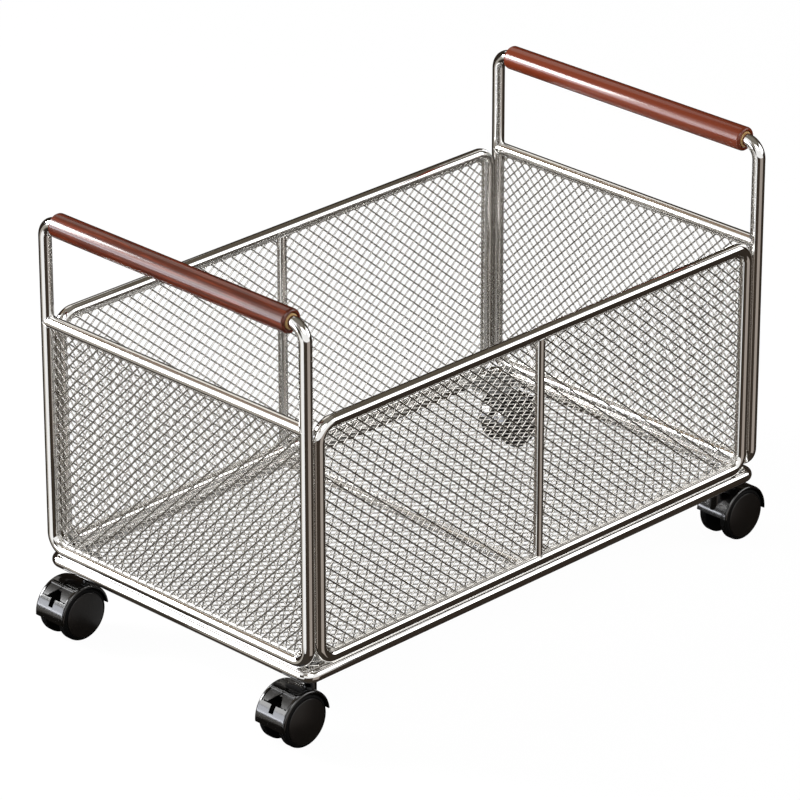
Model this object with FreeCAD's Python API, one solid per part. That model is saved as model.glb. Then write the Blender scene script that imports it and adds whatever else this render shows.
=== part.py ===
import FreeCAD, Part
import math
import os

# Rolling storage cart: a wire-mesh basket in a frame of polished round tube, with a wooden
# sleeve grip on each end bar and four twin-wheel swivel casters. Millimetres, +Z up.
# The origin is on the floor under the middle of the cart. +X runs along its length.

V = FreeCAD.Vector
ORIGIN = V(0, 0, 0)
Y_AXIS = V(0, 1, 0)
Z_AXIS = V(0, 0, 1)

# Frame tubes
tube_d = 9.5
frame_length = 456.0          # between the axes of the two end frames
frame_width = 260.0           # between the axes of the uprights of one end frame
basket_height = 177.0         # from the axis of a bottom bar to the axis of the rail above it
handle_rise = 76.5            # from the axis of the mid rail to the axis of the handle bar
frame_bend = 12.0             # centreline radius of the bends in the upright frames
ring_bend = 6.5               # centreline radius of the base ring's corners
side_gap = 1.6                # clear gap between a side frame's upright and the end frame's
post_d = 7.0                  # centre posts and floor crossbar
weld_gap = 0.2                # left between two tubes that are welded along a line

# Mesh panels
net_t = 1.8
net_border = 3.0              # plain strip along the tubes
net_strand = 2.4              # width left between two gaps
net_pitch = 40.0              # aimed-for diagonal of a gap
net_gap = 0.15                # between a panel's edge and the tube that carries it
floor_net_rise = 3.1          # the floor panels' middle above the ring's axis

# Wooden grips
grip_d = 18.0
grip_chamfer = 1.6
grip_end_gap = 0.6            # from a grip's end to the start of the bend
grip_clearance = 0.06         # radial, on the handle bar

# Corner plates and nuts that hold the casters
plate_t = 2.0
plate_gap = 0.1               # to the ring
plate_reach = 13.0            # past the swivel axis, away from the corner
plate_cut = 14.0              # across the inner corner
nut_flats = 13.0
nut_h = 4.0
thread_d = 8.0
thread_clearance = 0.1

# Casters
caster_height = 50.0          # floor to the underside of the corner plate
hood_top_gap = 7.3            # from the top of the hood to the corner plate
wheel_w = 8.0                 # tread
wheel_spacing = 14.0          # between the two wheels' inner faces
wheel_edge = 1.0              # chamfer on the outer edge of the tread
cap_flat_d = 21.0             # flat middle of the domed outer face
cap_crown = 1.2
axle_d = 4.0
axle_end_gap = 1.2            # from the axle's end to the outer edge of the tread
axle_bore_gap = 0.5           # past the axle's end in the wheel's blind bore
running_clearance = 0.05      # radial, of a turning piece on its pin
caster_trail = 17.5           # from the swivel axis to the axle
caster_inset_x = 18.0         # from the end frame's plane to the swivel axis
caster_inset_y = 16.5         # from the side frame's plane to the swivel axis
hood_clearance = 0.9          # between the tread and the hood
hood_wall = 1.8
hood_edge = 1.0               # chamfer along the hood's outer edges
hood_w = 29.4
hood_front_deg = 8.0          # angles round the axle, from straight ahead and up over the top
hood_rear_deg = 183.0
web_side_gap = 0.7            # between the centre web and each wheel
web_hub_d = 13.0              # of the web, round the axle
neck_d = 10.4
neck_floor = 3.9              # under the stem's bore
neck_top_gap = 1.2            # between the neck and the stem's flange
stem_pin_d = 6.0
stem_pin_length = 17.0        # below the flange
stem_bore_gap = 0.5           # under the stem's end
stem_flange_d = 13.0
stem_flange_t = 1.6
stem_top_gap = 0.6            # from the stem's upper end to the floor panel

# Brake lever, on the two casters of the left end
lever_start_deg = 109.0
lever_end_deg = 139.0
lever_half_w = 11.6
lever_gap = 0.5               # round the lever in the hood
lever_swing_gap = 1.2         # in front of the lever, for its swing
notch_start_deg = 115.0       # tip of the arrow-shaped notch in the lever
notch_half_w = 5.2            # at the notch's wide end
arm_w = 4.2
arm_end_deg = 120.0
knuckle_d = 4.4
slot_end_deg = 157.0
lever_pin_d = 2.0
lever_pin_deg = 112.5
lever_pin_depth = 2.2         # the pin's axis below the underside of the hood
lever_pin_end_gap = 0.5       # from the pin's end to the side of the web

overrun = 2.0                 # how far a cutter passes what it cuts

# Derived sizes
tube_r = tube_d / 2
half_length = frame_length / 2
half_width = frame_width / 2
ring_z = caster_height + tube_r
bar_z = ring_z + tube_d + weld_gap
rail_z = bar_z + basket_height
handle_z = rail_z + handle_rise
side_half_length = half_length - tube_d - side_gap
floor_net_z = ring_z + floor_net_rise
stem_x = half_length - caster_inset_x
stem_y = half_width - caster_inset_y
flange_z = caster_height - stem_flange_t
wheel_d = caster_height - hood_top_gap - hood_wall - hood_clearance
wheel_r = wheel_d / 2
wheel_inner = wheel_spacing / 2
wheel_outer = wheel_inner + wheel_w
axle_half = wheel_outer - axle_end_gap
hood_inner_r = wheel_r + hood_clearance
hood_outer_r = hood_inner_r + hood_wall
hood_half_w = hood_w / 2
web_half_w = wheel_inner - web_side_gap
lever_pin_r = hood_inner_r - lever_pin_depth

os.makedirs("parts", exist_ok=True)


def save(shape, node):
    """Write one piece to its own file."""
    shape.exportStep("parts/" + node + ".step")


def rod(start, end, diameter):
    """A straight round bar between two points."""
    along = end - start
    return Part.makeCylinder(diameter / 2, along.Length, start, along)


def revolved(profile, axis, start_deg=0, turn_deg=360):
    """A solid turned about an axis through the origin from a closed half section."""
    face = Part.Face(Part.makePolygon(profile + profile[:1]))
    face.rotate(ORIGIN, axis, start_deg)
    return face.revolve(ORIGIN, axis, turn_deg)


def rounded_wire(half_u, low, high, bend, place):
    """A rounded rectangle, from -half_u to half_u and from low to high, put in space by place(u, v)."""
    cut = bend * (1 - math.sqrt(0.5))
    arcs = []
    for index, (u, v, in_u, in_v) in enumerate((
        (half_u, low, -1, 1),
        (half_u, high, -1, -1),
        (-half_u, high, 1, -1),
        (-half_u, low, 1, 1),
    )):
        ends = [place(u + in_u * bend, v), place(u, v + in_v * bend)]
        if index % 2:
            ends.reverse()
        arcs.append(Part.Arc(ends[0], place(u + in_u * cut, v + in_v * cut), ends[1]))
    edges = []
    for index, arc in enumerate(arcs):
        edges.append(arc.toShape())
        edges.append(Part.LineSegment(arc.EndPoint, arcs[(index + 1) % len(arcs)].StartPoint).toShape())
    return Part.Wire(edges)


def loop_tube(half_u, low, high, bend, place):
    """A closed loop of round tube: a straight for each side and a quarter ring for each bend."""
    pieces = []
    for edge in rounded_wire(half_u, low, high, bend, place).Edges:
        start = edge.valueAt(edge.FirstParameter)
        along = edge.tangentAt(edge.FirstParameter)
        section = Part.Face(Part.Wire(Part.makeCircle(tube_r, start, along)))
        if edge.Curve.TypeId == "Part::GeomLine":
            pieces.append(section.extrude(along * edge.Length))
        else:
            turn = math.degrees(edge.Length / bend)
            pieces.append(section.revolve(edge.Curve.Center, edge.Curve.Axis, turn))
    return pieces[0].multiFuse(pieces[1:]).removeSplitter()


def grown_rods(axes):
    """Frame tubes on the given axes, grown by the weld gap, to cope what meets them."""
    return Part.makeCompound([rod(start, end, tube_d + 2 * weld_gap) for start, end in axes])


def half_chord(radius, height):
    """Half the width of a round bar at a height above its axis."""
    return math.sqrt(radius * radius - height * height)


def build_base():
    """The ring that carries the cart, with a crossbar and two mesh panels as the basket's floor."""
    def place(x, y):
        return V(x, y, ring_z)

    save(loop_tube(half_length, -half_width, half_width, ring_bend, place), "base_ring")
    long_sides = [(place(-half_length, y), place(half_length, y)) for y in (-half_width, half_width)]
    crossbar = rod(place(0, -half_width), place(0, half_width), post_d)
    save(crossbar.cut(grown_rods(long_sides)), "floor_crossbar")

    def place_net(x, y):
        return V(x, y, floor_net_z)

    seat = half_chord(tube_r, floor_net_rise - net_t / 2) + net_gap
    low_x = half_chord(post_d / 2, floor_net_rise - net_t / 2) + net_gap
    high_x = half_length - seat
    high_y = half_width - seat
    bend = ring_bend - seat
    save(net_panel(-high_x, -low_x, -high_y, high_y, bend, place_net, Z_AXIS), "floor_mesh_left")
    save(net_panel(low_x, high_x, -high_y, high_y, bend, place_net, Z_AXIS), "floor_mesh_right")


def net_panel(low_u, high_u, low_v, high_v, bend, place, normal):
    """A flat net: one face with diagonal rows of diamond gaps inside a plain border, made net_t thick."""
    middle_u = (low_u + high_u) / 2
    half_u = (high_u - low_u) / 2

    def centred(u, v):
        return place(middle_u + u, v)

    window_u = half_u - net_border
    window_low = low_v + net_border
    window_v = high_v - low_v - 2 * net_border
    columns = 2 * max(1, round(2 * window_u / net_pitch))
    rows = 2 * max(1, round(window_v / net_pitch))
    step_u = 2 * window_u / columns
    step_v = window_v / rows
    kept = 1 - net_strand / 2 * math.hypot(step_u, step_v) / (step_u * step_v)
    wires = [rounded_wire(half_u, low_v, high_v, bend, centred)]
    for i in range(columns + 1):
        for j in range(rows + 1):
            if (i + j) % 2 == 0:
                continue
            corners = []
            for by_u, by_v in ((1, 0), (0, 1), (-1, 0), (0, -1)):
                if 0 <= i + by_u <= columns and 0 <= j + by_v <= rows:
                    u = -window_u + (i + by_u * kept) * step_u
                    v = window_low + (j + by_v * kept) * step_v
                    corners.append(centred(u, v))
            wires.append(Part.makePolygon(corners + corners[:1]))
    panel = Part.makeFace(wires, "Part::FaceMakerBullseye").extrude(normal * net_t)
    panel.translate(normal * (-net_t / 2))
    return panel


def build_end(name, side):
    """An end frame with its mid rail, its mesh panel and the wooden grip on its top bar."""
    def place(y, z):
        return V(side * half_length, y, z)

    save(loop_tube(half_width, bar_z, handle_z, frame_bend, place), "end_frame_" + name)
    rail = rod(place(-half_width, rail_z), place(half_width, rail_z), tube_d)
    uprights = [(place(y, bar_z), place(y, handle_z)) for y in (-half_width, half_width)]
    save(rail.cut(grown_rods(uprights)), "end_rail_" + name)
    seat = tube_r + net_gap
    reach = half_width - seat
    net = net_panel(-reach, reach, bar_z + seat, rail_z - seat, frame_bend - seat, place, V(1, 0, 0))
    save(net, "end_mesh_" + name)
    grip = grip_sleeve()
    grip.translate(place(0, handle_z))
    save(grip, "grip_" + name)


def grip_sleeve():
    """A turned wooden sleeve with chamfered ends, loose on the handle bar."""
    radius = grip_d / 2
    bore = tube_r + grip_clearance
    half = half_width - frame_bend - grip_end_gap
    profile = [
        V(bore, -half, 0),
        V(radius - grip_chamfer, -half, 0),
        V(radius, -half + grip_chamfer, 0),
        V(radius, half - grip_chamfer, 0),
        V(radius - grip_chamfer, half, 0),
        V(bore, half, 0),
    ]
    return revolved(profile, Y_AXIS)


def build_side(name, side):
    """A side frame with its centre post and the two mesh panels beside the post."""
    def place(x, z):
        return V(x, side * half_width, z)

    save(loop_tube(side_half_length, bar_z, rail_z, frame_bend, place), "side_frame_" + name)
    post = rod(place(0, bar_z), place(0, rail_z), post_d)
    rails = [(place(-half_length, z), place(half_length, z)) for z in (bar_z, rail_z)]
    save(post.cut(grown_rods(rails)), "side_post_" + name)
    seat = tube_r + net_gap
    low_x = post_d / 2 + net_gap
    high_x = side_half_length - seat
    heights = (bar_z + seat, rail_z - seat, frame_bend - seat)
    save(net_panel(-high_x, -low_x, *heights, place, Y_AXIS), "side_mesh_" + name + "_left")
    save(net_panel(low_x, high_x, *heights, place, Y_AXIS), "side_mesh_" + name + "_right")


def corner_plate():
    """A plate in the ring's corner at +X +Y, with a hole for the caster's stem."""
    chord = half_chord(tube_r, tube_r - plate_t)
    edge_x = half_length - chord - plate_gap
    edge_y = half_width - chord - plate_gap
    corner = ring_bend - chord
    inner_x = stem_x - plate_reach
    inner_y = stem_y - plate_reach
    outline = [
        V(edge_x - corner, edge_y, caster_height),
        V(inner_x, edge_y, caster_height),
        V(inner_x, inner_y + plate_cut, caster_height),
        V(inner_x + plate_cut, inner_y, caster_height),
        V(edge_x, inner_y, caster_height),
        V(edge_x, edge_y - corner, caster_height),
    ]
    plate = Part.Face(Part.makePolygon(outline + outline[:1])).extrude(Z_AXIS * plate_t)
    hole_foot = V(stem_x, stem_y, caster_height - overrun)
    hole_head = V(stem_x, stem_y, caster_height + plate_t + overrun)
    return plate.cut(rod(hole_foot, hole_head, thread_d + 2 * thread_clearance))


def weld_nut():
    """The nut on a corner plate, round the caster's stem, on the Z axis."""
    foot = caster_height + plate_t
    radius = nut_flats / math.sqrt(3)
    angles = [math.radians(60 * index) for index in range(7)]
    outline = Part.makePolygon([V(radius * math.cos(a), radius * math.sin(a), foot) for a in angles])
    nut = Part.Face(outline).extrude(Z_AXIS * nut_h)
    hole = rod(V(0, 0, foot - overrun), V(0, 0, foot + nut_h + overrun), thread_d + 2 * thread_clearance)
    return nut.cut(hole)


def caster_stem():
    """The threaded stem with its flange and the pin that the hood turns on, on the Z axis."""
    top = floor_net_z - net_t / 2 - stem_top_gap
    profile = [
        V(0, 0, flange_z - stem_pin_length),
        V(stem_pin_d / 2, 0, flange_z - stem_pin_length),
        V(stem_pin_d / 2, 0, flange_z),
        V(stem_flange_d / 2, 0, flange_z),
        V(stem_flange_d / 2, 0, caster_height),
        V(thread_d / 2, 0, caster_height),
        V(thread_d / 2, 0, top),
        V(0, 0, top),
    ]
    return revolved(profile, Z_AXIS)


def sector(inner_r, outer_r, start_deg, end_deg, half_w):
    """Part of a ring round the axle, with angles counted from straight ahead and up over the top."""
    profile = [V(inner_r, -half_w, 0), V(outer_r, -half_w, 0), V(outer_r, half_w, 0), V(inner_r, half_w, 0)]
    return revolved(profile, Y_AXIS, -end_deg, end_deg - start_deg)


def lever_pin_place():
    """The lever pin's axis, seen from the axle."""
    angle = math.radians(lever_pin_deg)
    return V(lever_pin_r * math.cos(angle), 0, lever_pin_r * math.sin(angle))


def across(centre, half_w, diameter):
    """A round bar across the caster."""
    return rod(centre - Y_AXIS * half_w, centre + Y_AXIS * half_w, diameter)


def caster_hood(braked):
    """The moulded hood over both wheels, with its centre web and neck. The axle is at the origin."""
    profile = [
        V(hood_inner_r, -hood_half_w, 0),
        V(hood_outer_r - hood_edge, -hood_half_w, 0),
        V(hood_outer_r, hood_edge - hood_half_w, 0),
        V(hood_outer_r, hood_half_w - hood_edge, 0),
        V(hood_outer_r - hood_edge, hood_half_w, 0),
        V(hood_inner_r, hood_half_w, 0),
    ]
    shell = revolved(profile, Y_AXIS, -hood_rear_deg, hood_rear_deg - hood_front_deg)
    web = sector(0, hood_inner_r + hood_wall / 2, hood_front_deg, hood_rear_deg, web_half_w)
    hub = across(ORIGIN, web_half_w, web_hub_d)
    neck_top = flange_z - neck_top_gap - wheel_r
    bore_foot = flange_z - stem_pin_length - stem_bore_gap - wheel_r
    neck = rod(V(caster_trail, 0, bore_foot - neck_floor), V(caster_trail, 0, neck_top), neck_d)
    hood = shell.multiFuse([web, hub, neck]).removeSplitter()
    bore = rod(
        V(caster_trail, 0, bore_foot),
        V(caster_trail, 0, neck_top + overrun),
        stem_pin_d + 2 * running_clearance,
    )
    cuts = [bore, across(ORIGIN, web_half_w + overrun, axle_d + 2 * running_clearance)]
    if braked:
        gap_deg = math.degrees(lever_gap / hood_outer_r)
        swing_deg = math.degrees(lever_swing_gap / hood_outer_r)
        window_start = lever_start_deg - swing_deg
        window_end = lever_end_deg + gap_deg
        outside = hood_outer_r + overrun
        knuckle_room = knuckle_d / 2 + lever_gap
        slot_start = lever_pin_deg - math.degrees(knuckle_room / lever_pin_r)
        slot_half = arm_w / 2 + lever_gap
        cuts.append(sector(hood_inner_r - lever_gap, outside, window_start, window_end, lever_half_w + lever_gap))
        cuts.append(sector(lever_pin_r - knuckle_room, outside, slot_start, slot_end_deg, slot_half))
        cuts.append(across(lever_pin_place(), web_half_w + overrun, lever_pin_d + 2 * running_clearance))
    return hood.cut(Part.makeCompound(cuts))


def brake_lever():
    """The brake pedal: a curved pad flush with the hood, with an arrow-shaped notch, on a short arm."""
    pad = sector(hood_inner_r, hood_outer_r, lever_start_deg, lever_end_deg, lever_half_w)
    tip = math.radians(notch_start_deg)
    wide = math.radians(lever_end_deg)
    notch_r = hood_outer_r + overrun
    past = notch_r + overrun
    points = [
        V(notch_r * math.cos(tip), 0, notch_r * math.sin(tip)),
        V(past * math.cos(wide), -notch_half_w, notch_r * math.sin(wide)),
        V(past * math.cos(wide), notch_half_w, notch_r * math.sin(wide)),
    ]
    middle = (tip + wide) / 2
    inward = V(-math.cos(middle), 0, -math.sin(middle))
    notch = Part.Face(Part.makePolygon(points + points[:1])).extrude(inward * hood_outer_r / 2)
    arm = sector(lever_pin_r, hood_inner_r + hood_wall / 2, lever_start_deg, arm_end_deg, arm_w / 2)
    knuckle = across(lever_pin_place(), arm_w / 2, knuckle_d)
    lever = pad.cut(notch).multiFuse([arm, knuckle]).removeSplitter()
    return lever.cut(across(lever_pin_place(), arm_w / 2 + overrun, lever_pin_d + 2 * running_clearance))


def caster_wheel():
    """A wheel with a domed outer face and a blind bore. The axle is the Y axis, outwards is +Y."""
    bore = axle_d / 2 + running_clearance
    bore_end = axle_half + axle_bore_gap
    profile = [
        V(bore, wheel_inner, 0),
        V(wheel_r, wheel_inner, 0),
        V(wheel_r, wheel_outer - wheel_edge, 0),
        V(wheel_r - wheel_edge, wheel_outer, 0),
        V(cap_flat_d / 2, wheel_outer + cap_crown, 0),
        V(0, wheel_outer + cap_crown, 0),
        V(0, bore_end, 0),
        V(bore, bore_end, 0),
    ]
    return revolved(profile, Y_AXIS)


def build_caster(name, side_x, side_y, braked):
    """One caster on its stem, trailing outwards along the cart."""
    swivel = V(side_x * stem_x, side_y * stem_y, 0)
    axle_place = V(side_x * (stem_x + caster_trail), side_y * stem_y, wheel_r)

    def set_in_place(shape, node):
        if side_x > 0:
            shape.rotate(ORIGIN, Z_AXIS, 180)
        shape.translate(axle_place)
        save(shape, node)

    stem = caster_stem()
    stem.translate(swivel)
    save(stem, "caster_stem_" + name)
    set_in_place(caster_hood(braked), "caster_hood_" + name)
    set_in_place(across(ORIGIN, axle_half, axle_d), "caster_axle_" + name)
    for which, outward in (("outer", side_y), ("inner", -side_y)):
        wheel = caster_wheel()
        if outward < 0:
            wheel.rotate(ORIGIN, Z_AXIS, 180)
        wheel.translate(axle_place)
        save(wheel, "wheel_" + name + "_" + which)
    if braked:
        set_in_place(brake_lever(), "brake_lever_" + name)
        pin_half = web_half_w - lever_pin_end_gap
        set_in_place(across(lever_pin_place(), pin_half, lever_pin_d), "brake_pin_" + name)


def build_corners():
    """A plate, a weld nut and a caster at each corner of the ring."""
    nuts = []
    for name_x, side_x in (("left", -1), ("right", 1)):
        for name_y, side_y in (("near", -1), ("far", 1)):
            name = name_x + "_" + name_y
            plate = corner_plate()
            if side_x < 0:
                plate = plate.mirror(ORIGIN, V(1, 0, 0))
            if side_y < 0:
                plate = plate.mirror(ORIGIN, Y_AXIS)
            save(plate, "corner_plate_" + name)
            nut = weld_nut()
            nut.translate(V(side_x * stem_x, side_y * stem_y, 0))
            nuts.append(nut)
            build_caster(name, side_x, side_y, braked=side_x < 0)
    save(Part.makeCompound(nuts), "weld_nuts")


build_base()
build_end("left", -1)
build_end("right", 1)
build_side("near", -1)
build_side("far", 1)
build_corners()
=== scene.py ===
"""The looks of a rolling storage cart: steel tube, wire mesh, lacquered wood and moulded casters.

Metres, +Z up, origin on the floor under the middle of the cart. +X runs along its length.
"""

import math

import bmesh
import bpy
from mathutils import Matrix, Vector


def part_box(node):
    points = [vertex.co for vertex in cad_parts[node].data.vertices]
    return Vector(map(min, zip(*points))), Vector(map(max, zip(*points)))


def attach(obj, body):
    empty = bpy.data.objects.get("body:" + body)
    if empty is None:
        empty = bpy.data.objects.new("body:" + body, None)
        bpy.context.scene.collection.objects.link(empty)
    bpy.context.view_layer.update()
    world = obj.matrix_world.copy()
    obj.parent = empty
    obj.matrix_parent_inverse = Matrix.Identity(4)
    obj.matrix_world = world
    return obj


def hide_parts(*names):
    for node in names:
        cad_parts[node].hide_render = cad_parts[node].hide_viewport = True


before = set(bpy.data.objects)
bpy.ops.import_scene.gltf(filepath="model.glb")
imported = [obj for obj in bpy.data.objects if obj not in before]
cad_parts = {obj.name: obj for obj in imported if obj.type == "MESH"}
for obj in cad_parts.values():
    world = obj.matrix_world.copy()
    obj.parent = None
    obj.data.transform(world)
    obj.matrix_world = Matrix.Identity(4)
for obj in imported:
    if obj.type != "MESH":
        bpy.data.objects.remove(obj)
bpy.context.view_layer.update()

MM = 0.001
X_AXIS = Vector((1, 0, 0))
Y_AXIS = Vector((0, 1, 0))
Z_AXIS = Vector((0, 0, 1))

# The casters, and the end of the cart along X that each is at
CORNERS = [("left_near", -1), ("left_far", -1), ("right_near", 1), ("right_far", 1)]


def middle_and_half(node):
    """The middle of a node's box and half its size along each axis."""
    low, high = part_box(node)
    return (low + high) / 2, (high - low) / 2


# Sizes read from the frame
rail_middle, rail_half = middle_and_half("end_rail_left")
end_middle, end_half = middle_and_half("end_frame_left")
tube_r = rail_half.z
post_r = middle_and_half("side_post_near")[1].x
half_length = abs(end_middle.x)
half_width = end_half.y - tube_r
bar_z = end_middle.z - end_half.z + tube_r
rail_z = rail_middle.z
ring_z = middle_and_half("base_ring")[0].z
lever_half_w = middle_and_half("brake_lever_left_near")[1].y

# Meshes
merge_gap = 0.001 * MM
sharp_deg = 35
round_steps = 5

# Patterns of the finishes. The ripple that buffing leaves and the pores of wood are really 0.1 to
# 0.3 mm, too fine to show from here, so those three are drawn coarser. The stretch is how much of
# the wood pattern's scale is left along the grain
tube_haze = 35 * MM
tube_ripple = 0.9 * MM
tube_ripple_depth = 0.02 * MM
wire_haze = 6 * MM
zinc_spangle = 1.6 * MM
wood_streak = 2.2 * MM
wood_streak_depth = 0.05 * MM
wood_stretch = 0.04
wood_pore = 0.9 * MM
end_pore = 0.8 * MM
plastic_ior = 1.5

# Frame tubes
frame_bend = 12 * MM
ring_bend = 6.5 * MM
bend_steps = 14
tube_sides = 40
weld_r = 0.55 * MM
weld_sides = 8

# Wire mesh: two layers of straight wires, welded where they cross
wire_d = 1.15 * MM
wire_layer = 0.5 * MM
wire_sides = 8
wire_merge = 0.01 * MM
wire_tuck = 0.8 * MM
diamond_x = 10.0 * MM
diamond_y = 8.35 * MM
diamond_z = 8.4 * MM
strip_w = 0.9 * MM
strip_t = 1.3 * MM
strip_bend_steps = 8
strip_ease = 0.35 * MM
strip_ease_steps = 2

# Wooden grips
grip_sides = 64
grip_round = 2.2 * MM
grip_round_steps = 7
bore_play = 0.06 * MM
mouth_r = 6.6 * MM
mouth_depth = 1.6 * MM
mouth_taper = 1.0 * MM
mouth_edge = 0.25 * MM
end_ring_w = 0.9 * MM
end_ring_edge = 0.25 * MM
end_ring_drop = 0.35 * MM
end_ring_sink = 0.1 * MM

# Wheels
wheel_sides = 96
hub_r = 6.5 * MM
hub_sink = 0.4 * MM
tread_edge = 0.9 * MM
wheel_shoulder = 2.6 * MM
shoulder_steps = 8
cap_r = 17.0 * MM
cap_play = 0.1 * MM
cap_seat = 0.25 * MM
cap_crown = 2.2 * MM
cap_edge = 0.45 * MM
cap_edge_rise = 0.05 * MM
cap_edge_deg = 80
cap_edge_steps = 4
cap_dome_steps = 12

# Hoods. Angles go round the axle, from straight ahead and up over the top
hood_wall = 1.8 * MM
hood_edge = 1.7 * MM
hood_edge_steps = 4
hood_front_deg = 8
hood_rear_deg = 183
hood_steps = 70
hood_row_gap_deg = 1.2
hood_line_shares = (0.2, 0.5)
web_half_w = 6.3 * MM
web_play = 0.1 * MM
web_steps = 80
hub_sides = 40
recess_r = 13.5 * MM
recess_start_deg = 100
recess_end_deg = 162
neck_r = 4.4 * MM
neck_foot = 27 * MM
neck_edge = 0.5 * MM
neck_sides = 40
eye_start_deg = 100.5
eye_end_deg = 105.5
eye_half_w = 1.7 * MM
slot_end_deg = 157
slot_half_w = 2.2 * MM
slot_overlap_deg = 1

# Caster stems
stem_sides = 32
stem_pin_r = 3 * MM
flange_t = 1.6 * MM
flange_edge = 0.3 * MM
thread_r = 4 * MM
thread_pitch = 1.25 * MM
thread_depth = 0.5 * MM
thread_crest_share = 0.1
thread_root_share = 0.55

# Brake pedals. The brow is the row in front of the notch, where the two wings are one
lever_start_deg = 109
lever_end_deg = 139
lever_gap = 0.5 * MM
lever_foot_gap = 0.9 * MM
lever_swing_gap = 1.2 * MM
brow_deg = 111
notch_start_deg = 112
notch_half_w = 6.8 * MM
lip_start_deg = 113
lip_end_deg = 115
lip_steps = 4
pad_sink = 0.7 * MM
pad_steps = 12
pad_columns = 6
arm_end_deg = 120
arm_half_w = 2.1 * MM
arm_overlap = 0.6 * MM
arm_steps = 6
knuckle_r = 2.2 * MM
knuckle_overlap_share = 0.3
knuckle_sides = 24

# Camera, fitted to the photograph
camera_azimuth = math.radians(-45.166)
camera_elevation = math.radians(24.867)
camera_distance = 3699.5 * MM
camera_aside = -5.795 * MM
camera_raise = -2.403 * MM
camera_height = 150 * MM
camera_lens = 230.84
camera_sensor = 36.0
camera_clip_end = 50

# Studio floor and world. They are white where they are looked at, and light the cart less
floor_size = 12
floor_drop = 0.2 * MM
floor_glow = 1.02
floor_glow_share = 0.95
world_light = 0.4

# Cards on the floor, beside each caster and under the cart: painted shadow of the cart on
# the floor, seen only in reflections
caster_shadow_card_length = 160 * MM
caster_shadow_card_width = 120 * MM
caster_shadow_card_aside = 60 * MM
caster_shadow_card_drop = 0.1 * MM
under_shade_card_length = 440 * MM
under_shade_card_width = 210 * MM
under_shade_card_back = 25 * MM
under_shade_card_drop = 0.15 * MM

# Cards round the cart: degrees to the right of the camera, degrees up, colour and strength
card_distance = 3.0
card_height = 0.15
card_columns = 24
card_rows = 12
STUDIO_CARDS = [
    ("card_front_floor", (-26, 27), (-85, -3), "#3a322b", 1.0),
    ("card_front_left", (-62, -30), (-3, 26), "#4a443c", 1.0),
    ("card_front_high", (-45, -2), (28, 56), "#8c857c", 1.0),
    ("card_front_right_floor", (27, 76), (-40, -3), "#a49a92", 1.0),
    ("card_front_right_low", (27, 76), (-85, -40), "#332c26", 1.0),
    ("card_right_floor", (76, 112), (-85, 16), "#332c26", 1.0),
    ("card_right_back", (112, 182), (32, 44), "#5a5348", 1.0),
    ("card_right_high", (36, 182), (44, 58), "#5a5348", 1.0),
    ("card_back", (112, 262), (-85, 32), "#2e2721", 1.0),
    ("card_back_lit", (184, 218), (34, 54), "#f4efe6", 1.0),
    ("card_left_back", (-142, -98), (32, 40), "#2e2721", 1.0),
    ("card_left_high", (-142, -92), (40, 58), "#94836f", 1.0),
    ("card_left_lit", (-98, -62), (-1, 14), "#f4f7ff", 5.0),
    ("card_left_horizon", (-98, -62), (-4, -1), "#f4f7ff", 10.0),
    ("card_left_haze", (-98, -62), (-14, -4), "#d6d2ca", 1.0),
    ("card_left_edge", (-98, -76), (-34, -14), "#a8a299", 1.0),
    ("card_left_floor", (-98, -66), (-44, -34), "#59524a", 1.0),
    ("card_left_low", (-98, -26), (-85, -44), "#2e2822", 1.0),
    ("card_ceiling", (-180, 180), (58, 90), "#7c776e", 1.0),
]

# Soft boxes, placed as the cards are and then moved forward, towards the camera. Each is aimed at
# a height over the cart's middle, and its long side lies near a direction in degrees
LAMPS = {
    "softbox_left_far": {
        "azimuth": -90, "elevation": 27, "distance": 1.6, "forward": -0.25, "aim": 0.25,
        "long_side": 0, "length": 0.45, "width": 0.54, "brightness": 29.0,
    },
    "softbox_left_near": {
        "azimuth": -90, "elevation": 27, "distance": 1.6, "forward": 0.3, "aim": 0.25,
        "long_side": 0, "length": 0.4, "width": 0.5, "brightness": 3.7,
    },
    "softbox_right": {
        "azimuth": 90, "elevation": 28, "distance": 2.0, "forward": 0, "aim": 0.2,
        "long_side": 0, "length": 1.2, "width": 0.9, "brightness": 2.0,
    },
    "softbox_front": {
        "azimuth": 15, "elevation": 46, "distance": 2.2, "forward": 0, "aim": 0.2,
        "long_side": 90, "length": 1.2, "width": 0.8, "brightness": 2.2,
    },
}


def hex_colour(code):
    """A linear colour from an sRGB hex value."""
    values = [int(code[i:i + 2], 16) / 255 for i in (1, 3, 5)]
    linear = [v / 12.92 if v <= 0.04045 else ((v + 0.055) / 1.055) ** 2.4 for v in values]
    return (*linear, 1.0)


def add(tree, kind, inputs=None, **settings):
    """Add a node with its settings, and give its inputs values or links."""
    made = tree.nodes.new(kind)
    for key, value in settings.items():
        setattr(made, key, value)
    for key, value in (inputs or {}).items():
        if isinstance(value, bpy.types.NodeSocket):
            tree.links.new(value, made.inputs[key])
        else:
            made.inputs[key].default_value = value
    return made


def new_material(name, constants):
    """A material with its principled shader set to constants, and its object coordinates."""
    material = bpy.data.materials.new(name)
    material.use_nodes = True
    tree = material.node_tree
    tree.nodes.clear()
    shader = add(tree, "ShaderNodeBsdfPrincipled", constants)
    add(tree, "ShaderNodeOutputMaterial", {"Surface": shader.outputs[0]})
    place = add(tree, "ShaderNodeTexCoord").outputs["Object"]
    return material, tree, shader, place


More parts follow.
